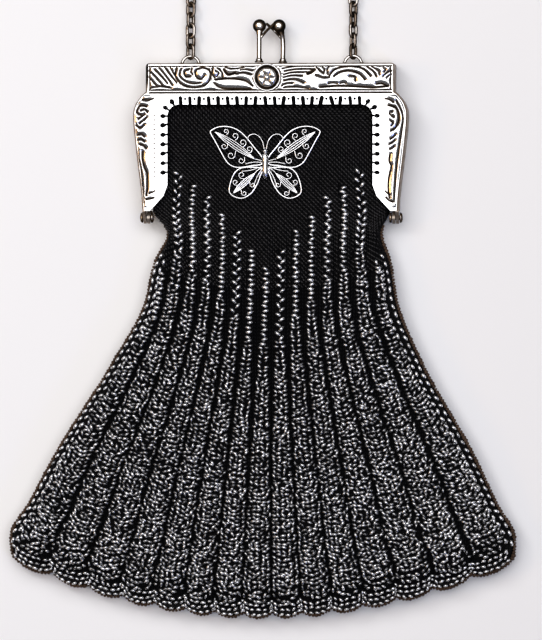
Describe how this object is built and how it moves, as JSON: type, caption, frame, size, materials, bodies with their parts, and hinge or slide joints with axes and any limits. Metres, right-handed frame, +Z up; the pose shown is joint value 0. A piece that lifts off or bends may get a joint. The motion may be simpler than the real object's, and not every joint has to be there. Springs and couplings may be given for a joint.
{
  "type": "beaded evening bag",
  "caption": "Small knitted evening bag with a fluted, fan-shaped skirt on a hinged kiss-lock metal frame, with a filigree butterfly and a chain handle, lying flat.",
  "frame": {"origin": "middle of the frame bar's back face, on the surface the bag lies on", "axes": "+X across the bag to its right, +Y from the hem towards the handle, +Z up through the front of the bag"},
  "size_m": [0.1772, 0.3359, 0.017],
  "materials": {
    "knit": "black cotton knit with grey glass seed beads",
    "silver": "antiqued silver plate"
  },
  "bodies": {
    "root": {"knit_bag": "knit", "front_frame": "silver", "back_frame": "silver", "clasp_front": "silver", "clasp_back": "silver", "hinge_left": "silver", "hinge_right": "silver", "butterfly": "silver", "chain": "silver"}
  },
  "joints": []
}
